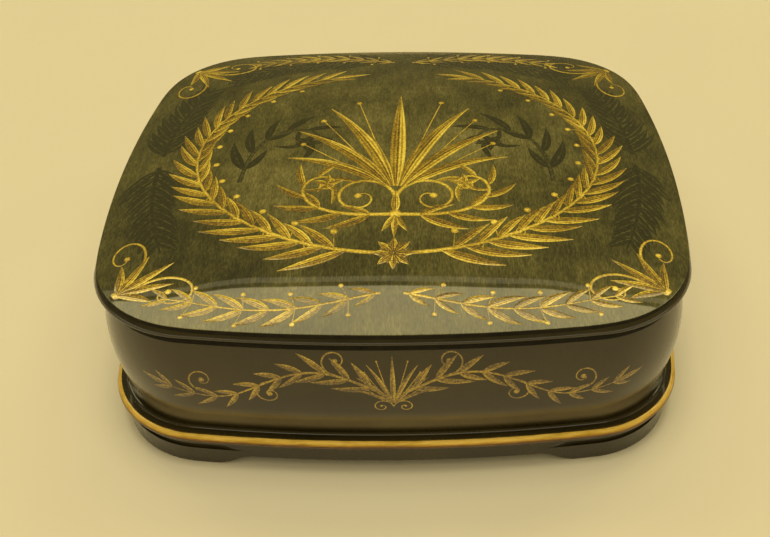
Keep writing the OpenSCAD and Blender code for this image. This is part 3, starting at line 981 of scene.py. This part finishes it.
def corner_spray(painting, side, end, draw):
    """Leaves and two curls that fill one corner of the lid."""
    root = np.array([side * 72.0, end * 60.0])
    inward = math.degrees(math.atan2(-end * 46.0, -side * 58.0))
    for turn, length in ((0, 17.0), (24, 15.0), (-24, 15.0), (48, 11.0), (-48, 11.0)):
        painting.leaf(root, inward + turn, length, 2.5, turn * 0.35, draw.uniform(0.8, 1.0))
    for sign in (1, -1):
        hand = sign * side * end
        along = np.array([0.0, -end]) if hand > 0 else np.array([-side, 0.0])
        middle = root + along * 15.0 + np.array([side, end])
        start = math.degrees(math.atan2(*(root - middle)[::-1]))
        coil = spiral(middle, 14.0, 1.6, start, sign * 1.2, 60)
        coil = middle + (coil - middle) * np.array([0.55, 0.75] if hand > 0 else [0.75, 0.55])
        painting.stem(coil, 1.0, 0.3, 0.75)
        painting.dot(coil[-1], 0.9)
    painting.dot(root, 1.5)


def garland(painting, side, end, reach, scale, draw):
    """Half of a leafy garland along the front or back slope of the lid."""
    t = np.linspace(0.0, 1.0, 120)
    path = np.c_[side * (3.0 + (reach - 3.0) * t), end * (62.5 + 5.0 * np.sin(math.pi * t) ** 1.2)]
    painting.stem(path, 0.9 * scale, 0.4, 0.8)
    count = int(reach / (6.2 * scale))
    for i in range(count):
        index = int(3 + (len(path) - 8) * i / (count - 1))
        heading = tangent(path, index)
        full = 0.75 + 0.4 * math.sin(math.pi * i / (count - 1))
        for lean in (40.0, -40.0):
            length = scale * full * draw.uniform(8.5, 10.0)
            tone = draw.uniform(0.7, 1.05)
            painting.leaf(path[index], heading + lean, length, length * 0.21, -lean * 0.7, tone)
        if i % 2 == 1:
            for sign in (1, -1):
                tip = path[index] + scale * 5.0 * way(heading + 78.0 * sign)
                painting.stem(np.linspace(path[index], tip, 6), 0.3, 0.25, 0.6)
                painting.dot(tip, 0.7 * scale, 0.95)


def vine(painting, reach, side, draw):
    """Half of a running vine on the wall, from the middle to one side."""
    level = 31.0
    u = np.linspace(4.0, reach, 140)
    sway = 6.2 * np.sin((u - 4.0) / 10.5) * np.clip((reach - u) / 25.0 + 0.25, 0.25, 1.0)
    path = np.c_[side * u, level + sway]
    painting.stem(path, 0.95, 0.3, 0.75)
    count = int(reach / 6.0)
    for i in range(count):
        index = int(4 + (len(path) - 8) * i / (count - 1))
        heading = tangent(path, index)
        share = i / (count - 1)
        for lean in (38.0, -38.0):
            length = (10.0 - 4.0 * share) * draw.uniform(0.85, 1.1)
            painting.leaf(path[index], heading + lean, length, 1.9 - 0.5 * share, -lean * 0.4, 0.85)
        if i % 3 == 1:
            sign = 1.0 if (i // 3) % 2 == 0 else -1.0
            middle = path[index] + np.array([side * 3.5, sign * 6.0])
            coil = spiral(middle, 4.4, 0.8, 180.0 + sign * 90.0, side * sign * 1.2, 36)
            painting.stem(coil, 0.6, 0.25, 0.65)
            painting.dot(middle, 0.8, 0.85)
    painting.leaf(path[-1], tangent(path, len(path) - 1), 8.0, 1.7, 0.0, 0.8)


def shadow_branch(painting, root, angle, length, bend, draw):
    """A dark leafy branch in the ground colour, behind the gold."""
    t = np.linspace(0.0, 1.0, 60)
    path = walk(root, angle + bend * t, length / len(t))
    painting.stem(path, 1.6, 0.5, 0.2)
    count = int(length / 4.4)
    for i in range(count):
        index = 2 + int(56 * i / count)
        size = 15.0 - 7.0 * i / count
        for lean in (48.0, -48.0):
            leaf_length = size * draw.uniform(0.85, 1.1)
            tone = draw.uniform(0.55, 0.9)
            heading = tangent(path, index) + lean
            painting.leaf(path[index], heading, leaf_length, 3.0, -lean * 0.45, tone, plain=True)


# Dark leaves in the ground of the lid
DRAW = random.Random(5)
shade = Painting(lambda points, lift: on_lid(points, SHADE_FLATNESS * lift))
for side in (1, -1):
    shadow_branch(shade, (side * 5.0, 66.0), 90.0 - side * 90.0, 60.0, -side * 38.0, DRAW)
    scroll(shade, (side * 46.0, -16.0), 90.0 + side * 3.0, 104.0, side, DRAW, plain=True)
    for end in (1, -1):
        shadow_branch(shade, (side * 72.5, end * 3.0), end * 90.0, 44.0, side * end * 24.0, DRAW)
shade_piece = shade.piece("lid_shade_leaves", SHADE_PAINT)
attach(shade_piece, "lid")

# Gold ornament of the lid
gold = Painting(on_lid)
for side in (1, -1):
    wreath(gold, side, DRAW)
    scroll(gold, (side, -33.0), 90.0 - side * 92.0, 94.0, side, DRAW)
    garland(gold, side, -1, 60.0, 1.0, DRAW)
    garland(gold, side, 1, 52.0, 0.8, DRAW)
    for end in (1, -1):
        corner_spray(gold, side, end, DRAW)
palmette(gold, (0.0, -22.0), 1.12, DRAW)
rosette(gold, (0.0, -48.5), 6.0)
for turn, length in ((-90, 9.0), (-62, 7.5), (-118, 7.5)):
    gold.leaf((0.0, -33.5), turn, length, 1.9, 0.0, 0.9)
gold.dot((0.0, -33.0), 1.9, 1.0)
gold.leaf((0.0, -32.0), 90.0, 9.5, 2.6, 0.0, 1.0)
gold_piece = gold.piece("lid_gold_ornament", GOLD_PAINT)
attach(gold_piece, "lid")

# Vines on the wall: the middle of each side and how far the vine reaches from it
SIDES = {
    "front": (0.0, -HALF_DEPTH, 60.0),
    "right": (HALF_WIDTH, 0.0, 50.0),
    "back": (0.0, HALF_DEPTH, 60.0),
    "left": (-HALF_WIDTH, 0.0, 50.0),
}
for face, (x, y, reach) in SIDES.items():
    vines = Painting(on_wall(girth_at(x, y)), VINE_STRENGTH)
    for side in (1, -1):
        vine(vines, reach, side, DRAW)
    palmette(vines, (0.0, 26.0), 0.34, DRAW)
    vine_piece = vines.piece("wall_vine_" + face, GOLD_PAINT)
    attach(vine_piece, "box")


# Floor, light and camera
def floor_material():
    """Plain pale paper."""
    made, tree, shader = finish("floor_paper", 0.8, coat=0.0, level=0.2)
    grain = noise(tree, place_mm(tree), 0.02, 3.0)
    colour = ramp(tree, grain, [(0.2, (0.655, 0.575, 0.372)), (0.8, (0.675, 0.592, 0.385))])
    connect(tree, shader, colour)
    return made


FLOOR_RADIUS = 3000.0
BACKDROP_HEIGHT = 200.0
FLOOR_SIDES = 96


def stage_pieces():
    """A round pale floor with a low pale backdrop all round it, far from the box."""
    turns = np.linspace(0.0, 2 * math.pi, FLOOR_SIDES, endpoint=False)
    circle = FLOOR_RADIUS * np.c_[np.cos(turns), np.sin(turns)]
    low = np.c_[circle, np.zeros(FLOOR_SIDES)]
    high = np.c_[circle, np.full(FLOOR_SIDES, BACKDROP_HEIGHT)]
    floor = build("floor", low, [tuple(range(FLOOR_SIDES))], closed=False)
    around = []
    for i in range(FLOOR_SIDES):
        k = (i + 1) % FLOOR_SIDES
        around.append((i + FLOOR_SIDES, k + FLOOR_SIDES, k, i))
    backdrop = build("backdrop", np.vstack([low, high]), around, closed=False)
    paper = floor_material()
    for piece in (floor, backdrop):
        dress(piece, paper)


stage_pieces()

ROOM_LIGHT = (0.185, 0.155, 0.062, 1.0)
LOW_WALL_LIGHT = (1.45, 1.28, 0.92, 1.0)
MOULDING_LIGHT = (1.00, 0.86, 0.46, 1.0)
PANEL_LIGHT = (3.20, 2.76, 1.42, 1.0)
LAMP_COLOUR = (1.0, 0.95, 0.80)


def studio():
    """A dim room with a low front wall, and a ceiling panel with a strip behind it.

    The front of the lid mirrors the panel and the strip.
    """
    world = bpy.data.worlds.new("studio")
    bpy.context.scene.world = world
    world.use_nodes = True
    tree = world.node_tree
    parts = node(tree, "ShaderNodeSeparateXYZ", {0: node(tree, "ShaderNodeTexCoord").outputs["Generated"]})
    height = math_node(tree, "MAXIMUM", parts.outputs["Z"], 0.02)
    across = math_node(tree, "DIVIDE", parts.outputs["X"], height)
    back = math_node(tree, "DIVIDE", parts.outputs["Y"], height)
    off_middle = total(tree, across, 0.015)
    square = product(tree, off_middle, off_middle)
    aside = math_node(tree, "SQRT", total(tree, square, 0.01))
    edge = less(tree, product(tree, square, 0.72), product(tree, aside, 0.06))
    beyond = less(tree, back, total(tree, edge, 0.601))
    far = span(tree, beyond, -0.007, 0.0, 1.0, 0.0)
    near = span(tree, less(tree, back, product(tree, square, 0.35)), 0.30, 0.36)
    wide = span(tree, math_node(tree, "ABSOLUTE", across), 0.80, 0.95, 1.0, 0.0)
    panel_light = product(tree, product(tree, far, near), wide)
    moulding = product(tree, stripe(tree, beyond, 0.014, 0.019, 0.040, 0.046), wide)
    in_front = span(tree, parts.outputs["Y"], -0.20, 0.10, 1.0, 0.0)
    low_wall = product(tree, stripe(tree, parts.outputs["Z"], 0.03, 0.05, 0.18, 0.24), in_front)
    room = mix_colour(tree, low_wall, ROOM_LIGHT, LOW_WALL_LIGHT)
    room = mix_colour(tree, moulding, room, MOULDING_LIGHT)
    lit = mix_colour(tree, panel_light, room, PANEL_LIGHT)
    tree.links.new(lit, tree.nodes["Background"].inputs["Color"])


def soft_light(name, strength, spread, tilt):
    """A soft light from above, moved towards the front by an angle, not mirrored in the lacquer."""
    data = bpy.data.lights.new(name, "SUN")
    data.energy = strength
    data.angle = math.radians(spread)
    data.color = LAMP_COLOUR
    lamp = link(name, data)
    lamp.rotation_euler = (math.radians(tilt), 0.0, 0.0)
    lamp.visible_glossy = False


studio()
soft_light("overhead", 1.22, 26.0, -1.0)
soft_light("fill", 1.20, 70.0, 28.0)

# The camera solved from the outlines in the photograph, its picture in pixels
FOCAL_PIXELS = 1040.64
PHOTO_WIDTH = 770
SENSOR_WIDTH = 36.0
CAMERA_PLACE = (12.12, -267.13, 229.72)
CAMERA_PITCH = 36.111
CAMERA_YAW = -1.249
CAMERA_ROLL = 0.385
PICTURE_CENTRE = (71.7, -60.6)


def photo_camera():
    """The camera at the viewing angle of the photograph."""
    pitch = math.radians(CAMERA_PITCH)
    yaw = math.radians(CAMERA_YAW)
    roll = math.radians(CAMERA_ROLL)
    ahead = Vector((-math.sin(yaw) * math.cos(pitch), math.cos(yaw) * math.cos(pitch), -math.sin(pitch)))
    level = Vector((math.cos(yaw), math.sin(yaw), 0.0))
    upward = level.cross(ahead)
    right = math.cos(roll) * level + math.sin(roll) * upward
    top = -math.sin(roll) * level + math.cos(roll) * upward
    data = bpy.data.cameras.new("camera")
    data.sensor_width = SENSOR_WIDTH
    data.lens = FOCAL_PIXELS / PHOTO_WIDTH * SENSOR_WIDTH
    data.shift_x = -PICTURE_CENTRE[0] / PHOTO_WIDTH
    data.shift_y = PICTURE_CENTRE[1] / PHOTO_WIDTH
    data.clip_start = 0.01
    camera = link("camera", data)
    turn = Matrix((right, top, -ahead)).transposed().to_4x4()
    camera.matrix_world = Matrix.Translation(Vector(CAMERA_PLACE) * MM) @ turn
    bpy.context.scene.camera = camera


photo_camera()
bpy.context.scene.view_settings.view_transform = "Standard"
